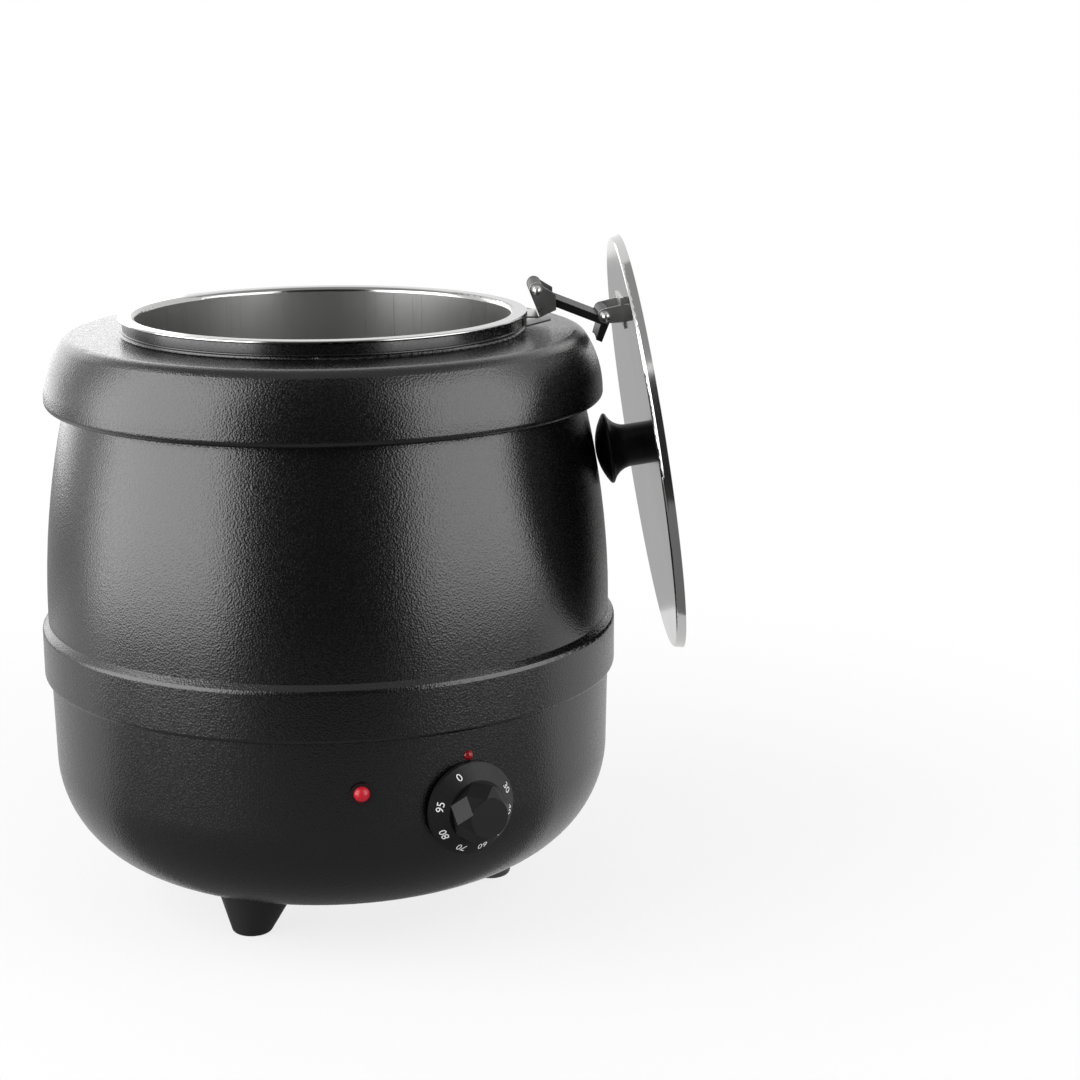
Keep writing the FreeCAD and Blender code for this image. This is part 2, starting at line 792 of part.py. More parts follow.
def screw_rods():
    """The three terminal screws, which fill their recesses in the block's top."""
    screws = []
    low = block_z + block_h - terminal_screw_h
    for k in (-1, 0, 1):
        start = radial_point(block_r - block_d / 4, k * terminal_pitch, low, block_at)
        screws.append(rod(terminal_screw_r, terminal_screw_h, start, UP))
    return screws


def terminal_block():
    inner = block_r - block_d / 2
    body = box(inner, inner + block_d, -block_w / 2, block_w / 2, block_z, block_z + block_h)
    return body.rotated(ORIGIN, UP, block_at).cut(screw_rods())


def terminal_screws():
    return Part.makeCompound(screw_rods())


def level_with(point, z):
    return FreeCAD.Vector(point.x, point.y, z)


def block_terminal(k):
    return radial_point(block_r + block_d / 4, k * terminal_pitch, block_z + block_h, block_at)


def thermostat_terminal(side, back_off):
    z = dial_z - terminal_drop
    return radial_point(thermostat_back - back_off, side * thermostat_w / 4, z, dial_at)


low_wires_z = block_z + block_h + wire_lift
high_wires_z = low_wires_z + wire_step
knee = 2 * wire_bend_r


def live_wire():
    """From the terminal block to the back of the thermostat."""
    start = block_terminal(-1)
    bend = thermostat_terminal(1, knee)
    points = [start, level_with(start, high_wires_z), level_with(bend, high_wires_z), bend]
    return bent_tube(points + [thermostat_terminal(1, 0)], wire_r, wire_bend_r)


def load_wire():
    """From the back of the thermostat to one end of the heater."""
    bend = thermostat_terminal(-1, knee)
    finish = cold_end(-1) - UP * cold_end_h
    points = [thermostat_terminal(-1, 0), bend, level_with(bend, low_wires_z)]
    return bent_tube(points + [level_with(finish, low_wires_z), finish], wire_r, wire_bend_r)


def neutral_wire():
    """From the terminal block to the other end of the heater."""
    start = block_terminal(0)
    finish = cold_end(1) - UP * cold_end_h
    points = [start, level_with(start, low_wires_z), level_with(finish, low_wires_z), finish]
    return bent_tube(points, wire_r, wire_bend_r)


def lamp_lead():
    """From the lamp's tail to the terminal block."""
    start = radial_point(lamp_seat - lamp_tail, 0, lamp_z, lamp_at)
    bend = radial_point(lamp_seat - lamp_tail - knee, 0, lamp_z, lamp_at)
    finish = block_terminal(1)
    points = [start, bend, level_with(bend, high_wires_z), level_with(finish, high_wires_z), finish]
    return bent_tube(points, wire_r, wire_bend_r)


gland_seat = outside_wall(gland_z, gland_flange_r)


def cord_gland():
    """Cable gland at the back, open for the supply cord."""
    body = Part.makeCone(gland_flange_r, gland_thread_r, gland_flange_h, OUT * gland_seat, OUT)
    tail_end = OUT * (gland_seat - gland_tail)
    body = body.fuse(rod(gland_thread_r, gland_tail, tail_end, OUT))
    body = body.removeSplitter().cut(rod(gland_bore_r, gland_tail + gland_flange_h, tail_end, OUT))
    return radial(body, gland_at, gland_z)


def gland_nut():
    base = OUT * (inside_wall(gland_z, gland_nut_r, gland_nut_r) - gland_nut_h)
    nut = hex_nut(gland_nut_r, gland_nut_h, gland_thread_r, base, OUT)
    return radial(nut, gland_at, gland_z)


# Insert pot

def insert_pot():
    """Deep drawn pot with a flat rim, its edge rolled into a hem."""
    corner = (pot_r - pot_corner_r, pot_floor_z + pot_corner_r)
    mouth = (pot_r + pot_mouth_r, pot_top_z - pot_sheet - pot_mouth_r)
    hem_r = hem_h / 2
    edges = joined([
        line((0, pot_floor_z), (pot_r - pot_corner_r, pot_floor_z)),
        arc(corner, pot_corner_r, -90, 0),
        arc(mouth, pot_mouth_r, 180, 90),
        line((pot_r + pot_mouth_r, pot_top_z - pot_sheet), (flange_r - hem_r, pot_top_z - pot_sheet)),
    ])
    shell = turned(Part.Wire(edges).makeOffset2D(pot_sheet, 2, True, True))
    hem = turned(disc((flange_r - hem_r, pot_top_z - hem_r), hem_r))
    return shell.fuse(hem).removeSplitter()


# Hinge geometry, in the XZ plane through the hinge

ear_in_y = link_half_w + ear_side_gap
ear_out_y = ear_in_y + ear_sheet
rim_pin = (flange_r + ear_gap + ear_tip_r, pot_top_z + rim_pin_up)
lid_low_z = pot_top_z + lid_gap
lid_pin_shut = (lid_pin_reach, lid_low_z + lid_h + lid_pin_up)
link_len = math.dist(rim_pin, lid_pin_shut)
link_shut_deg = math.degrees(math.atan2(lid_pin_shut[1] - rim_pin[1], lid_pin_shut[0] - rim_pin[0]))
clip_floor_low = (rim_pin[0] + clip_floor_in, neck_top_z - clip_lip_gap - ear_sheet)
clip_floor_high = (clip_floor_low[0] + clip_floor_w, clip_floor_low[1] + clip_floor_rise)
floor_edge = (clip_floor_high[0] - rim_pin[0], clip_floor_high[1] + ear_sheet - rim_pin[1])
link_open_deg = math.degrees(
    math.atan2(floor_edge[1], floor_edge[0]) + math.asin((link_bar_top + rest_gap) / math.hypot(*floor_edge)))
link_swing = link_shut_deg - link_open_deg
open_rad = math.radians(link_open_deg)
lid_pin_open = (rim_pin[0] + link_len * math.cos(open_rad), rim_pin[1] + link_len * math.sin(open_rad))


def knob_points():
    """Points round the knob's head, as (distance above the lid's top, distance from its axis)."""
    dome = knob_h - knob_rim_h
    steps = 24
    points = []
    for k in range(-steps, steps + 1):
        r = knob_head_r * k / steps
        points.append((knob_rim_h + dome * math.sqrt(1 - (r / knob_head_r) ** 2), r))
    return points


def knob_clearance(turn_deg):
    """Least gap from the open lid's knob to the barrel, at a turn of the lid from shut."""
    a = math.radians(turn_deg)
    gap = knob_h
    for up, side in knob_points():
        x = -lid_pin_reach + side
        z = up - lid_pin_up
        px = lid_pin_open[0] + x * math.cos(a) + z * math.sin(a)
        pz = lid_pin_open[1] - x * math.sin(a) + z * math.cos(a)
        gap = min(gap, px - barrel_side(pz))
    return gap


def open_turn():
    """Turn from shut at which the knob comes to rest against the barrel."""
    low = 200.0
    high = 300.0
    while high - low > 1e-9:
        middle = (low + high) / 2
        if knob_clearance(middle) > rest_gap:
            low = middle
        else:
            high = middle
    return low


lid_turn = open_turn()
lid_swing = lid_turn - link_swing


def opened_link(shape):
    return shape.rotated(at(*rim_pin), ALONG, link_swing)


def opened_lid(shape):
    shift = at(lid_pin_open[0] - lid_pin_shut[0], lid_pin_open[1] - lid_pin_shut[1])
    return shape.rotated(at(*lid_pin_shut), ALONG, lid_turn).translated(shift)


def rounded_ear(pin, foot_a, foot_b, y):
    """Sheet ear that rises from two foot points to a round end about its pin."""
    tip = rod(ear_tip_r, ear_sheet, FreeCAD.Vector(pin[0], y, pin[1]), ALONG)
    sides = []
    for point, sign in ((foot_a, 1), (foot_b, -1)):
        dx = point[0] - pin[0]
        dz = point[1] - pin[1]
        base = math.atan2(dz, dx)
        lean = math.acos(min(1.0, ear_tip_r / math.hypot(dx, dz)))
        a = base - sign * lean
        sides.append((pin[0] + ear_tip_r * math.cos(a), pin[1] + ear_tip_r * math.sin(a)))
    blade = polygon([foot_a, foot_b, sides[1], sides[0]]).extrude(ALONG * ear_sheet)
    blade.translate(ALONG * y)
    ear = blade.fuse(tip).removeSplitter()
    return ear.cut(rod(pin_r + running_gap, ear_sheet, FreeCAD.Vector(pin[0], y, pin[1]), ALONG))


def rim_clip():
    """Spring clip over the neck: a hook and finger tab, with two ears for the hinge pin."""
    top = neck_top_z - clip_lip_gap
    under = top - ear_sheet
    inside = neck_r - sheet - clip_web_gap
    web = neck_r + neck_bead_r + clip_web_gap
    tab_z = collar_top_z + clip_tab_up
    tab_end = (web + clip_tab_len, tab_z + clip_tab_rise)
    hook = turned(polygon([
        (inside - ear_sheet, top - clip_lip_drop), (inside - ear_sheet, top), (rim_pin[0], top),
        (rim_pin[0], under), (web + ear_sheet, under), (web + ear_sheet, tab_z + ear_sheet),
        (tab_end[0], tab_end[1] + ear_sheet), tab_end, (web + ear_sheet, tab_z), (web, tab_z),
        (web, under), (inside, under), (inside, top - clip_lip_drop),
    ]))
    body = hook.common(box(0, waist_r, -link_half_w, link_half_w, 0, pot_top_z + rim_pin_up))
    low = clip_floor_low
    high = clip_floor_high
    floor = polygon([
        (low[0] - 2 * ear_sheet, under), (low[0], under), high, (high[0], high[1] + ear_sheet),
        (low[0], top), (low[0] - 2 * ear_sheet, top),
    ])
    floor = floor.extrude(ALONG * 2 * ear_out_y)
    floor.translate(ALONG * -ear_out_y)
    body = body.fuse(floor)
    ear_root = (low[0] + ear_sheet, under + ear_sheet * clip_floor_rise / clip_floor_w)
    shoulder = (rim_pin[0] + clip_ear_reach, rim_pin[1] - clip_ear_drop)
    lobe = polygon([rim_pin, (rim_pin[0], rim_pin[1] + ear_tip_r), shoulder, high])
    for y in (-ear_out_y, ear_in_y):
        body = body.fuse(rounded_ear(rim_pin, ear_root, high, y))
        body = body.fuse(lobe.extrude(ALONG * ear_sheet).translated(ALONG * y))
    hole = rod(pin_r + running_gap, 2 * ear_out_y, FreeCAD.Vector(rim_pin[0], -ear_out_y, rim_pin[1]), ALONG)
    return body.removeSplitter().cut(hole)


def pin(place):
    """Hinge pin with a ball on each end, drawn along Y."""
    half = ear_out_y + hole_gap
    body = rod(pin_r, 2 * half, FreeCAD.Vector(place[0], -half, place[1]), ALONG)
    for sign in (-1, 1):
        face = FreeCAD.Vector(place[0], sign * half, place[1])
        body = body.fuse(rod(pin_neck_r, pin_neck_len + pin_ball_r, face, ALONG * sign))
        ball = FreeCAD.Vector(place[0], sign * (half + pin_neck_len + pin_ball_r), place[1])
        body = body.fuse(Part.makeSphere(pin_ball_r, ball))
    return body.removeSplitter()


def rim_pin_piece():
    return opened_link(pin(rim_pin))


def lid_pin_piece():
    return opened_link(pin(lid_pin_shut))


def hinge_link():
    """Moulded bar between the two pins, with an upright finger tab at the lid's end."""
    far = -link_len
    end = far - link_hub_r
    bar = polygon([
        (link_hub_r - link_bar_low, link_bar_low), (0, link_bar_top),
        (end, link_bar_top), (end, link_bar_low)])
    tab = polygon([
        (end, link_bar_low), (end, link_bar_top + tab_h), (end + tab_t - tab_dish, link_bar_top + tab_h),
        (end + tab_t, link_bar_top), (end + tab_t, link_bar_low)])
    body = None
    for face in (bar, tab):
        solid = face.extrude(ALONG * 2 * link_half_w)
        body = solid if body is None else body.fuse(solid)
    body.translate(ALONG * -link_half_w)
    for x in (0.0, far):
        hub = rod(link_hub_r, 2 * link_half_w, FreeCAD.Vector(x, -link_half_w, 0), ALONG)
        body = body.fuse(hub)
    dish_r = (link_half_w ** 2 + tab_dish ** 2) / (2 * tab_dish)
    top = link_bar_top + tab_h - tab_dish + dish_r
    body = body.cut(rod(dish_r, tab_t, at(end, top), OUT))
    for x in (0.0, far):
        body = body.cut(rod(pin_r, 2 * link_half_w, FreeCAD.Vector(x, -link_half_w, 0), ALONG))
    body = body.removeSplitter().translated(at(*rim_pin))
    body = body.rotated(at(*rim_pin), ALONG, 180 - link_shut_deg)
    return opened_link(body)


# Lid, knob and bracket, drawn shut and then swung open

lid_top_z = lid_low_z + lid_h


def lid_pan():
    """Shallow pressed pan, worn upside down: a flat top, a tight corner and a low side."""
    corner_r = lid_r - lid_taper
    edges = joined([
        line((lid_r, 0), (corner_r, lid_h - lid_corner_r)),
        arc((corner_r - lid_corner_r, lid_h - lid_corner_r), lid_corner_r, 0, 90),
        line((corner_r - lid_corner_r, lid_h), (0, lid_h)),
    ])
    pan = turned(Part.Wire(edges).makeOffset2D(lid_sheet, 2, True, True))
    pan = pan.cut(rod(screw_r + hole_gap, lid_h, ORIGIN, UP))
    return opened_lid(pan.translated(UP * lid_low_z))


def lid_knob():
    """Turned black knob: straight stem, hollow flare and a domed head with a rounded rim."""
    dome = knob_h - knob_rim_h
    dome_r = (knob_head_r ** 2 + dome ** 2) / (2 * dome)
    side = math.degrees(math.asin(knob_head_r / dome_r))
    flare_out = knob_head_r - knob_stem_r
    flare_up = knob_rim_h - knob_stem_h
    flare_r = (flare_out ** 2 + flare_up ** 2) / (2 * flare_out)
    sweep = math.degrees(math.asin(flare_up / flare_r))
    profile = joined([
        line((0, 0), (knob_stem_r, 0)),
        arc((knob_stem_r + flare_r, knob_stem_h), flare_r, 180, 180 - sweep),
        arc((0, knob_h - dome_r), dome_r, 90 - side, 90),
        line((0, knob_h), (0, 0)),
    ])
    knob = turned(Part.Face(Part.Wire(profile)))
    rim = [e for e in knob.Edges if math.hypot(e.BoundBox.ZMin - knob_rim_h, e.BoundBox.ZLength) < 1e-3]
    knob = knob.makeFillet(knob_rim_r, rim)
    knob = knob.cut(rod(screw_r, knob_screw_depth, ORIGIN, UP))
    return opened_lid(knob.translated(UP * lid_top_z))


def knob_screw():
    low = lid_top_z - lid_sheet - washer_h
    shank = rod(screw_r, knob_screw_depth + lid_sheet + washer_h, at(0, low), UP)
    head = rod(screw_head_r, screw_head_h, at(0, low - screw_head_h), UP)
    return opened_lid(shank.fuse(head))


def knob_washer():
    low = at(0, lid_top_z - lid_sheet - washer_h)
    washer = rod(washer_r, washer_h, low, UP).cut(rod(screw_r, washer_h, low, UP))
    return opened_lid(washer)


def lid_bracket():
    """Folded bracket welded to the lid's top, with two ears for the lid's pin."""
    half = bracket_len / 2
    x = lid_pin_shut[0]
    body = box(x - half, x + half, -ear_out_y, ear_out_y, lid_top_z, lid_top_z + ear_sheet)
    for y in (-ear_out_y, ear_in_y):
        foot_a = (x - ear_tip_r - ear_sheet, lid_top_z)
        foot_b = (x + ear_tip_r + ear_sheet, lid_top_z)
        body = body.fuse(rounded_ear(lid_pin_shut, foot_a, foot_b, y))
    return opened_lid(body.removeSplitter())


pieces = {
    "collar_ring": collar_ring,
    "barrel_shell": barrel_shell,
    "lower_bowl": lower_bowl,
    "bottom_cover": bottom_cover,
    "cover_screws": cover_screws,
    "foot_screws": foot_screws,
    "water_vessel": water_vessel,
    "collar_studs": collar_studs,
    "collar_nuts": collar_nuts,
    "tie_rods": tie_rods,
    "tie_nuts": tie_nuts,
    "heater_ring": heater_ring,
    "clamp_plate": clamp_plate,
    "clamp_stud": clamp_stud,
    "clamp_nut": clamp_nut,
    "dial_knob": dial_knob,
    "dial_shaft": dial_shaft,
    "thermostat_body": thermostat_body,
    "thermostat_screws": thermostat_screws,
    "lamp_holder": lamp_holder,
    "lamp_lens": lamp_lens,
    "lamp_nut": lamp_nut,
    "index_stud": index_stud,
    "bulb_and_capillary": bulb_and_capillary,
    "bulb_clip": bulb_clip,
    "terminal_block": terminal_block,
    "terminal_screws": terminal_screws,
    "live_wire": live_wire,
    "neutral_wire": neutral_wire,
    "load_wire": load_wire,
    "lamp_lead": lamp_lead,
    "cord_gland": cord_gland,
    "gland_nut": gland_nut,
    "insert_pot": insert_pot,
    "rim_clip": rim_clip,
    "rim_pin": rim_pin_piece,
    "hinge_link": hinge_link,
    "lid_pin": lid_pin_piece,
    "lid": lid_pan,
    "lid_knob": lid_knob,
    "knob_screw": knob_screw,
    "knob_washer": knob_washer,
    "lid_bracket": lid_bracket,
}

os.makedirs("parts", exist_ok=True)
for name, make in pieces.items():
    make().exportStep("parts/" + name + ".step")
for index in range(foot_count):
    foot(index).exportStep("parts/foot_" + str(index + 1) + ".step")

print("link swing", round(link_swing, 3), "lid swing", round(lid_swing, 3), "lid turn", round(lid_turn, 3))
print("rim pin", rim_pin, "open lid pin", lid_pin_open, "link open", round(link_open_deg, 2))
print("dial back", dial_back, "dial height", dial_z, "gland seat", gland_seat, "gland height", gland_z)
print("pot top", pot_top_z, "pot floor", pot_floor_z, "vessel floor", vessel_floor_z)
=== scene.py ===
import math
import bpy
from mathutils import Matrix, Vector


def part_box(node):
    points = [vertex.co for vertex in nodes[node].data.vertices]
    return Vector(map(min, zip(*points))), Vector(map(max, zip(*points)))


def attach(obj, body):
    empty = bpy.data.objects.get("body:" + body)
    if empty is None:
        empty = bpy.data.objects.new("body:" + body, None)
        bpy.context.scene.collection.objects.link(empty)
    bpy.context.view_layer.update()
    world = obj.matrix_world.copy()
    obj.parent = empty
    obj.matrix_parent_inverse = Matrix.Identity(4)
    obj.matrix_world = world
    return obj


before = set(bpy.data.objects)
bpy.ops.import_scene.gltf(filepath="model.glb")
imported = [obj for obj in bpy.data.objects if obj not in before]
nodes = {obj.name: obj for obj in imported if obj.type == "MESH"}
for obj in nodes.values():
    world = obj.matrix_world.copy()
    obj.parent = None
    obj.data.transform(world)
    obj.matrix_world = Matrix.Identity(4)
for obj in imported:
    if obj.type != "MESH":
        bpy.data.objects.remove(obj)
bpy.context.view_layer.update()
scene = bpy.context.scene
scene.view_settings.view_transform = "Standard"

# Camera: stands in front, about 0.2 m above the rim, and looks down at the kettle.
# Its place and lens are those that the photograph's outlines give.
eye = Vector((0.0484, -1.3866, 0.5417))
sight = Vector((0.0543, 0.9714, -0.2314))
roll = math.radians(-0.22)
lens_mm = 79.3
sensor_mm = 36.0
camera_data = bpy.data.cameras.new("camera")
camera_data.sensor_width = sensor_mm
camera_data.lens = lens_mm
camera = bpy.data.objects.new("camera", camera_data)
turn = sight.to_track_quat("-Z", "Y").to_matrix().to_4x4()
camera.matrix_world = Matrix.Translation(eye) @ turn @ Matrix.Rotation(roll, 4, "Z")
scene.collection.objects.link(camera)
scene.camera = camera


# Studio: a thin white paper under the kettle that fades into a white room, and a softbox at
# each side. Reflections see cards instead of the paper: a bright one behind, a dark cloth in
# front, a grey ceiling and a table whose strips grow lighter from the cloth to the kettle's sides.
def put(node, values):
    """Sets a node's inputs by their names."""
    for name, value in values.items():
        node.inputs[name].default_value = value


def grey(level):
    return (level, level, level, 1)


def new_material(name):
    material = bpy.data.materials.new(name)
    material.use_nodes = True
    return material, material.node_tree.nodes["Principled BSDF"]


def staged(name, corners, material):
    """A flat staged sheet, drawn in its own XY plane."""
    mesh = bpy.data.meshes.new(name)
    mesh.from_pydata([(x, y, 0) for x, y in corners], [], [range(len(corners))])
    mesh.materials.append(material)
    sheet = bpy.data.objects.new(name, mesh)
    scene.collection.objects.link(sheet)
    return sheet


def facing(place, aim):
    turn = (Vector(aim) - Vector(place)).to_track_quat("-Z", "Y").to_matrix().to_4x4()
    return Matrix.Translation(place) @ turn


def round_about(azimuth, distance, height):
    """A place round the kettle, with its azimuth counted to the right from the camera's side."""
    a = math.radians(azimuth)
    return Vector((distance * math.sin(a), -distance * math.cos(a), height))


def softbox(name, azimuth, distance, width, watts, low=-0.1, high=1.4):
    data = bpy.data.lights.new(name, "AREA")
    data.shape = "RECTANGLE"
    data.size = width
    data.size_y = high - low
    data.energy = watts
    lamp = bpy.data.objects.new(name, data)
    middle = (low + high) / 2
    lamp.matrix_world = facing(round_about(azimuth, distance, middle), (0, 0, middle))
    lamp.visible_camera = False
    scene.collection.objects.link(lamp)


def card(name, place, aim, width, height, brightness):
    """A sheet that only reflections see."""
    material, shader = new_material(name)
    put(shader, {"Base Color": grey(0), "Roughness": 1.0,
                 "Emission Color": grey(1), "Emission Strength": brightness})
    x = width / 2
    y = height / 2
    sheet = staged(name, [(-x, -y), (x, -y), (x, y), (-x, y)], material)
    sheet.matrix_world = facing(place, aim)
    sheet.visible_camera = False
    sheet.visible_diffuse = False
    sheet.visible_transmission = False
    sheet.visible_shadow = False


floor_r = 0.75
floor_paper, shader = new_material("floor_paper")
put(shader, {"Base Color": grey(0.93), "Roughness": 0.9})
tree = floor_paper.node_tree
distance = tree.nodes.new("ShaderNodeVectorMath")
distance.operation = "LENGTH"
tree.links.new(tree.nodes.new("ShaderNodeTexCoord").outputs["Object"], distance.inputs[0])
fade = tree.nodes.new("ShaderNodeMapRange")
fade.interpolation_type = "SMOOTHSTEP"
put(fade, {"From Min": 0.3 * floor_r, "From Max": floor_r, "To Min": 0.2, "To Max": 0.0})
tree.links.new(distance.outputs["Value"], fade.inputs["Value"])
tree.links.new(fade.outputs["Result"], shader.inputs["Alpha"])
floor_sides = 120
turns = [2 * math.pi * k / floor_sides for k in range(floor_sides)]
floor = staged("floor", [(floor_r * math.cos(t), floor_r * math.sin(t)) for t in turns], floor_paper)
floor.visible_glossy = False
softbox("left_softbox", azimuth=-67, distance=1.0, width=1.25, watts=19)
softbox("right_softbox", azimuth=61, distance=1.2, width=1.17, watts=11)
card("back_card", round_about(-150, 1.4, 0.6), (0, 0, 0.6), width=1.1, height=1.0, brightness=2.5)
card("front_cloth", (0, -1.25, 0.5), (0, 0, 0.5), width=1.6, height=3.2, brightness=0.01)
# A sheet that faces straight up or down leans by this much, so that its turn is defined.
lean = 0.001
card("ceiling", (0, 0, 2.2), (0, lean, 0), width=3.0, height=3.0, brightness=0.4)
table_z = -0.01
table_w = 4.0
strips = (("near_cloth", -1.25, -0.65, 0.01), ("apron", -0.65, -0.05, 0.2),
          ("side_table", -0.05, 0.6, 0.75), ("far_table", 0.6, 2.9, 0.4))
for name, near, far, brightness in strips:
    middle = (near + far) / 2
    card(name, (0, middle, table_z), (0, middle + lean, 1), table_w, far - near, brightness)
world = bpy.data.worlds.new("studio")
scene.world = world
world.use_nodes = True
tree = world.node_tree
rays = tree.nodes.new("ShaderNodeLightPath")
seen = rays.outputs["Is Camera Ray"]
for kind in ("Is Glossy Ray", "Is Transmission Ray"):
    either = tree.nodes.new("ShaderNodeMath")
    either.operation = "MAXIMUM"
    tree.links.new(seen, either.inputs[0])
    tree.links.new(rays.outputs[kind], either.inputs[1])
    seen = either.outputs["Value"]
lit_level = 0.45
seen_level = 1.0
level = tree.nodes.new("ShaderNodeMix")
put(level, {"A": lit_level, "B": seen_level})
tree.links.new(seen, level.inputs["Factor"])
tree.links.new(level.outputs["Result"], tree.nodes["Background"].inputs["Strength"])
put(tree.nodes["Background"], {"Color": grey(1)})


# Casing: collar and lower bowl are pressed and the barrel is rolled from steel sheet. All are
# powder coated in a fine black hammered finish, which runs smooth on the collar's neck, and the
# barrel laps over the bowl.
def paint(material, *names):
    for name in names:
        piece = nodes[name]
        piece.data.materials.clear()
        piece.data.materials.append(material)


def texture(material, kind, vector=None):
    tree = material.node_tree
    node = tree.nodes.new(kind)
    if vector is None:
        vector = tree.nodes.new("ShaderNodeTexCoord").outputs["Object"]
    tree.links.new(vector, node.inputs["Vector"])
    return node


noise_middle = (0.3, 0.7)


def ranged(material, value, source, target):
    """Maps a value from one range to another."""
    node = material.node_tree.nodes.new("ShaderNodeMapRange")
    put(node, {"From Min": source[0], "From Max": source[1], "To Min": target[0], "To Max": target[1]})
    material.node_tree.links.new(value, node.inputs["Value"])
    return node.outputs["Result"]


def place_of(material):
    """The surface's place in the shared frame at rest, as three values."""
    tree = material.node_tree
    node = tree.nodes.new("ShaderNodeSeparateXYZ")
    tree.links.new(tree.nodes.new("ShaderNodeTexCoord").outputs["Object"], node.inputs["Vector"])
    return node


def times(material, a, b):
    node = material.node_tree.nodes.new("ShaderNodeMath")
    node.operation = "MULTIPLY"
    material.node_tree.links.new(a, node.inputs[0])
    material.node_tree.links.new(b, node.inputs[1])
    return node.outputs["Value"]


def bump(material, shader, height, distance, strength):
    node = material.node_tree.nodes.new("ShaderNodeBump")
    put(node, {"Distance": distance, "Strength": strength})
    material.node_tree.links.new(height, node.inputs["Height"])
    material.node_tree.links.new(node.outputs["Normal"], shader.inputs["Normal"])


grain_group = bpy.data.node_groups.new("grain", "ShaderNodeTree")
for socket in ("Scale", "Detail", "Low", "High"):
    grain_group.interface.new_socket(socket, in_out="INPUT", socket_type="NodeSocketFloat")
for socket in ("Roughness", "Height"):
    grain_group.interface.new_socket(socket, in_out="OUTPUT", socket_type="NodeSocketFloat")
given = grain_group.nodes.new("NodeGroupInput")
result = grain_group.nodes.new("NodeGroupOutput")
noise = grain_group.nodes.new("ShaderNodeTexNoise")
place = grain_group.nodes.new("ShaderNodeTexCoord")
level = grain_group.nodes.new("ShaderNodeMapRange")
put(level, {"From Min": noise_middle[0], "From Max": noise_middle[1]})
for start, end in ((place.outputs["Object"], noise.inputs["Vector"]),
                   (given.outputs["Scale"], noise.inputs["Scale"]),
                   (given.outputs["Detail"], noise.inputs["Detail"]),
                   (given.outputs["Low"], level.inputs["To Min"]),
                   (given.outputs["High"], level.inputs["To Max"]),
                   (noise.outputs["Fac"], level.inputs["Value"]),
                   (level.outputs["Result"], result.inputs["Roughness"]),
                   (noise.outputs["Fac"], result.inputs["Height"])):
    grain_group.links.new(start, end)


def grained(material, shader, scale, detail, low, high):
    """Fine unevenness of a surface, which sets its roughness and gives a height for its bump."""
    node = material.node_tree.nodes.new("ShaderNodeGroup")
    node.node_tree = grain_group
    put(node, {"Scale": scale, "Detail": detail, "Low": low, "High": high})
    material.node_tree.links.new(node.outputs["Roughness"], shader.inputs["Roughness"])
    return node.outputs["Height"]


neck_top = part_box("collar_ring")[1][2]
neck_h = 0.0084
neck_foot = neck_top - neck_h
smooth_from = neck_foot + 0.002
hammered_to = neck_foot + 0.001
hammertone, shader = new_material("hammertone")
put(shader, {"Base Color": (0.003, 0.003, 0.0031, 1), "IOR": 1.65})
cells = texture(hammertone, "ShaderNodeTexVoronoi")
cells.feature = "SMOOTH_F1"
put(cells, {"Scale": 950, "Smoothness": 0.6})
height = place_of(hammertone).outputs["Z"]
hammered = ranged(hammertone, height, (hammered_to, smooth_from), (1, 0))
dents = times(hammertone, cells.outputs["Distance"], hammered)
bump(hammertone, shader, dents, distance=0.0005, strength=0.24)
grained(hammertone, shader, scale=900, detail=1.0, low=0.18, high=0.32)
paint(hammertone, "collar_ring", "barrel_shell", "lower_bowl")


# Insert pot and water vessel: drawn from stainless sheet and brushed upright to a satin, the
# pot's flat rim rolled into a hem at its edge and polished.
rim_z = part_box("insert_pot")[1][2]
polish_foot = rim_z - 0.0032
polish_top = rim_z - 0.0022
polished_roughness = 0.13
streaks_round = 90
drawn_steel, shader = new_material("drawn_steel")
put(shader, {"Metallic": 1.0, "Base Color": (0.50, 0.50, 0.495, 1)})
tree = drawn_steel.node_tree
place = place_of(drawn_steel)
angle = tree.nodes.new("ShaderNodeMath")
angle.operation = "ARCTAN2"
tree.links.new(place.outputs["Y"], angle.inputs[0])
tree.links.new(place.outputs["X"], angle.inputs[1])
unrolled = tree.nodes.new("ShaderNodeCombineXYZ")
tree.links.new(angle.outputs["Value"], unrolled.inputs["X"])
tree.links.new(place.outputs["Z"], unrolled.inputs["Z"])
squeezed = tree.nodes.new("ShaderNodeVectorMath")
squeezed.operation = "MULTIPLY"
squeezed.inputs[1].default_value = (streaks_round, 1, 1)
tree.links.new(unrolled.outputs["Vector"], squeezed.inputs[0])
streaks = texture(drawn_steel, "ShaderNodeTexNoise", squeezed.outputs["Vector"])
put(streaks, {"Scale": 2.0, "Detail": 4.0})
brushed = ranged(drawn_steel, streaks.outputs["Fac"], noise_middle, (0.27, 0.34))
finish = tree.nodes.new("ShaderNodeMix")
put(finish, {"B": polished_roughness})
polished = ranged(drawn_steel, place.outputs["Z"], (polish_foot, polish_top), (0, 1))
tree.links.new(polished, finish.inputs["Factor"])
tree.links.new(brushed, finish.inputs["A"])
tree.links.new(finish.outputs["Result"], shader.inputs["Roughness"])
bump(drawn_steel, shader, streaks.outputs["Fac"], distance=0.0001, strength=0.03)
paint(drawn_steel, "insert_pot", "water_vessel")


# Rim clip, lid bracket and hinge pins: bent and turned from bright stainless, springy and
# thin; the clip hooks over the neck and the bracket is welded to the lid.
def steel(name, colour, low, high, scale):
    material, shader = new_material(name)
    put(shader, {"Metallic": 1.0, "Base Color": colour})
    haze = grained(material, shader, scale, detail=4.0, low=low, high=high)
    bump(material, shader, haze, distance=0.0001, strength=0.05)
    return material


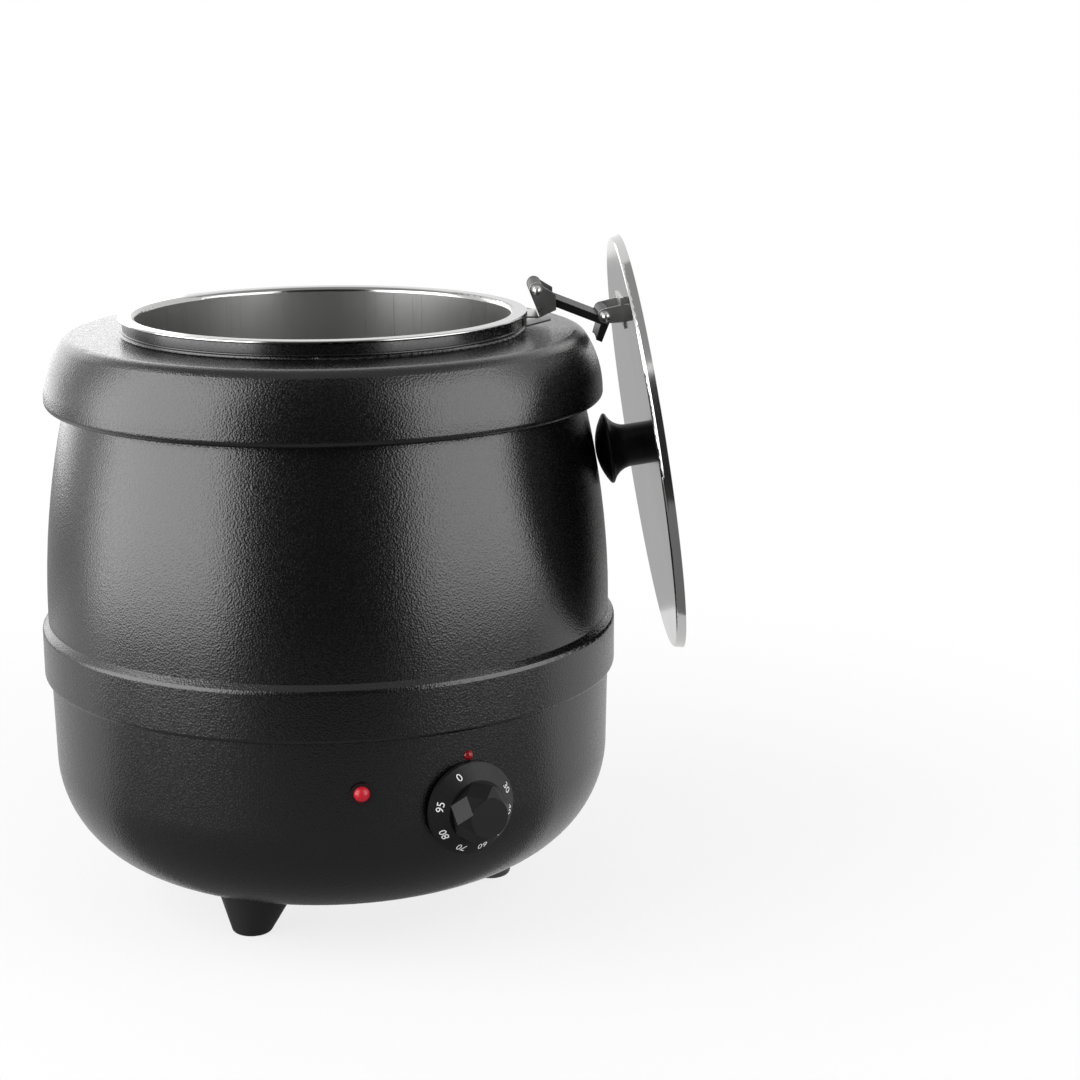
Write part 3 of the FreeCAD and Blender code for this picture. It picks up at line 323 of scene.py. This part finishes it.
bright_steel = steel("bright_steel", (0.66, 0.66, 0.65, 1), low=0.26, high=0.38, scale=60)
paint(bright_steel, "rim_clip", "lid_bracket", "rim_pin", "lid_pin")


# Lid: a shallow pan pressed from stainless sheet and polished, with faint marks from
# polishing. It hangs by its welded bracket, and its flat top is shaded flat up to its corner.
lid_steel = steel("lid_steel", (0.56, 0.56, 0.555, 1), low=0.10, high=0.14, scale=20)
paint(lid_steel, "lid")
flat_faces = nodes["lid"].modifiers.new("flat_faces", "WEIGHTED_NORMAL")
flat_faces.weight = 100
flat_faces.keep_sharp = True


# Hinge link, lid knob, dial, cord gland and the nuts of gland and lamp: moulded in black
# plastic with a fine satin skin. The link turns on its two pins, the knob is screwed on from
# under the lid, and the dial is pushed on the thermostat's shaft.
def plastic(name, colour, low, high, scale):
    material, shader = new_material(name)
    put(shader, {"Base Color": colour})
    skin = grained(material, shader, scale, detail=3.0, low=low, high=high)
    bump(material, shader, skin, distance=0.0002, strength=0.1)
    return material


black_plastic = plastic("black_plastic", (0.008, 0.008, 0.0083, 1), low=0.40, high=0.50, scale=900)
put(black_plastic.node_tree.nodes["Principled BSDF"], {"IOR": 1.36})
paint(black_plastic, "hinge_link", "lid_knob", "dial_knob", "lamp_nut", "gland_nut", "cord_gland")


# Dial numbers: white print on the dial's cone, read from its middle outwards, in the
# order of the scale.
dial_azimuth = math.radians(-62)
outward = Vector((math.cos(dial_azimuth), math.sin(dial_azimuth), 0))
upward = Vector((0, 0, 1))
rightward = upward.cross(outward)
dial_low, dial_high = [Vector(corner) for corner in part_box("dial_knob")]
skirt_r = (dial_high.z - dial_low.z) / 2
grip_r = 0.0175
cone_h = 0.006
cone_back = 0.16954
cone_middle = outward * (cone_back + cone_h / 2) + upward * (dial_low.z + skirt_r)
print_lift = 0.0002
print_h = 0.00004
digit_size = 0.0062
white_print, shader = new_material("white_print")
put(shader, {"Base Color": (0.78, 0.78, 0.77, 1)})
grained(white_print, shader, scale=500, detail=2.0, low=0.5, high=0.65)
marks = (("30", 66), ("40", 100), ("50", 134), ("60", 168),
         ("70", 203), ("80", 241), ("95", 284), ("0", 335))
for label, clock in marks:
    radial = upward * math.cos(math.radians(clock)) + rightward * math.sin(math.radians(clock))
    normal = (outward * (skirt_r - grip_r) + radial * cone_h).normalized()
    rise = (radial * (skirt_r - grip_r) - outward * cone_h).normalized()
    across = rise.cross(normal)
    font = bpy.data.curves.new("mark_" + label, "FONT")
    font.body = label
    font.align_x = "CENTER"
    font.align_y = "CENTER"
    font.size = digit_size
    font.extrude = print_h
    text = bpy.data.objects.new("mark_" + label, font)
    place = cone_middle + radial * (skirt_r + grip_r) / 2 + normal * print_lift
    axes = Matrix((across, rise, normal)).transposed().to_4x4()
    text.matrix_world = Matrix.Translation(place) @ axes
    scene.collection.objects.link(text)
    font.materials.append(white_print)
    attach(text, "dial")


# Feet: moulded black rubber cones that lean outwards, shaped to the bowl at their tops and
# held by screws from inside the bowl.
foot_rubber = plastic("foot_rubber", (0.007, 0.007, 0.007, 1), low=0.45, high=0.58, scale=500)
paint(foot_rubber, "foot_1", "foot_2", "foot_3")


# Lamp and index stud: red plastic. The lamp's lens sits on a dark red holder that a nut holds
# in the bowl's wall, and the stud is pressed into the wall above the dial.
lamp_red = plastic("lamp_red", (0.48, 0.008, 0.022, 1), low=0.25, high=0.35, scale=300)
paint(lamp_red, "lamp_lens")
stud_red = plastic("stud_red", (0.20, 0.003, 0.006, 1), low=0.10, high=0.2, scale=300)
paint(stud_red, "index_stud")
holder_red = plastic("holder_red", (0.014, 0.003, 0.004, 1), low=0.25, high=0.35, scale=300)
paint(holder_red, "lamp_holder")


# Fasteners, rods and plates: zinc plated screws, nuts and studs, and bare steel sheet and rod,
# which hold casing, vessel, heater and knob. They show only from below and inside the lid.
zinc = steel("zinc", (0.56, 0.57, 0.59, 1), low=0.3, high=0.45, scale=200)
paint(zinc, "cover_screws", "foot_screws", "collar_studs", "collar_nuts", "tie_nuts", "clamp_stud",
      "clamp_nut", "thermostat_screws", "terminal_screws", "knob_screw", "knob_washer", "dial_shaft")
plate_steel = steel("plate_steel", (0.45, 0.45, 0.45, 1), low=0.35, high=0.5, scale=90)
paint(plate_steel, "bottom_cover", "clamp_plate", "bulb_clip", "tie_rods")


# Heater, thermostat and wiring: a steel tube pressed to the vessel, a copper bulb on its
# capillary, moulded cases for thermostat and terminals, and wires in plastic skins.
heater_steel = steel("heater_steel", (0.20, 0.18, 0.17, 1), low=0.4, high=0.6, scale=150)
paint(heater_steel, "heater_ring")
copper = steel("copper", (0.60, 0.30, 0.18, 1), low=0.25, high=0.4, scale=120)
paint(copper, "bulb_and_capillary")
thermostat_case = plastic("thermostat_case", (0.03, 0.03, 0.03, 1), low=0.4, high=0.5, scale=700)
paint(thermostat_case, "thermostat_body")
terminal_case = plastic("terminal_case", (0.80, 0.78, 0.72, 1), low=0.35, high=0.45, scale=600)
paint(terminal_case, "terminal_block")
wire_colours = {"live_wire": (0.15, 0.06, 0.03, 1), "neutral_wire": (0.03, 0.10, 0.40, 1),
                "load_wire": (0.015, 0.015, 0.015, 1), "lamp_lead": (0.40, 0.03, 0.03, 1)}
for name, colour in wire_colours.items():
    paint(plastic(name + "_skin", colour, low=0.35, high=0.45, scale=400), name)
